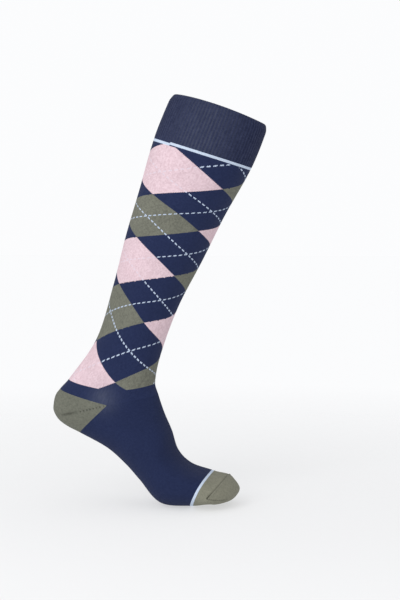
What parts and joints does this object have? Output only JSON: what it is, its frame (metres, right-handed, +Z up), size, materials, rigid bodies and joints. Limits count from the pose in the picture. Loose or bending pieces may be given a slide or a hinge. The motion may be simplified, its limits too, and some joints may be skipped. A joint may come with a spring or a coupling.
{
  "type": "riding sock",
  "caption": "Knee-high argyle riding sock in the shape it takes on a foot on tiptoe, with a double ribbed cuff, heel pocket and toe pocket.",
  "frame": {"origin": "centre of the cuff's mouth, where the leg goes in", "axes": "+Z up as worn on tiptoe, +X the way the toes point, -Y the outer side of the foot"},
  "size_m": [0.2536, 0.1104, 0.4793],
  "materials": {
    "cuff_knit": "ribbed matt cotton knit, dark navy",
    "stripe_knit": "matt cotton knit, light blue",
    "leg_knit": "matt cotton knit with an argyle pattern in heathered pink, olive grey and navy",
    "foot_knit": "plain matt cotton knit, dark navy",
    "pocket_knit": "plain matt cotton knit, olive grey"
  },
  "bodies": {
    "root": {"cuff": "cuff_knit", "cuff_stripe": "stripe_knit", "leg": "leg_knit", "heel": "pocket_knit", "foot": "foot_knit", "toe_stripe": "stripe_knit", "toe": "pocket_knit"}
  },
  "joints": []
}
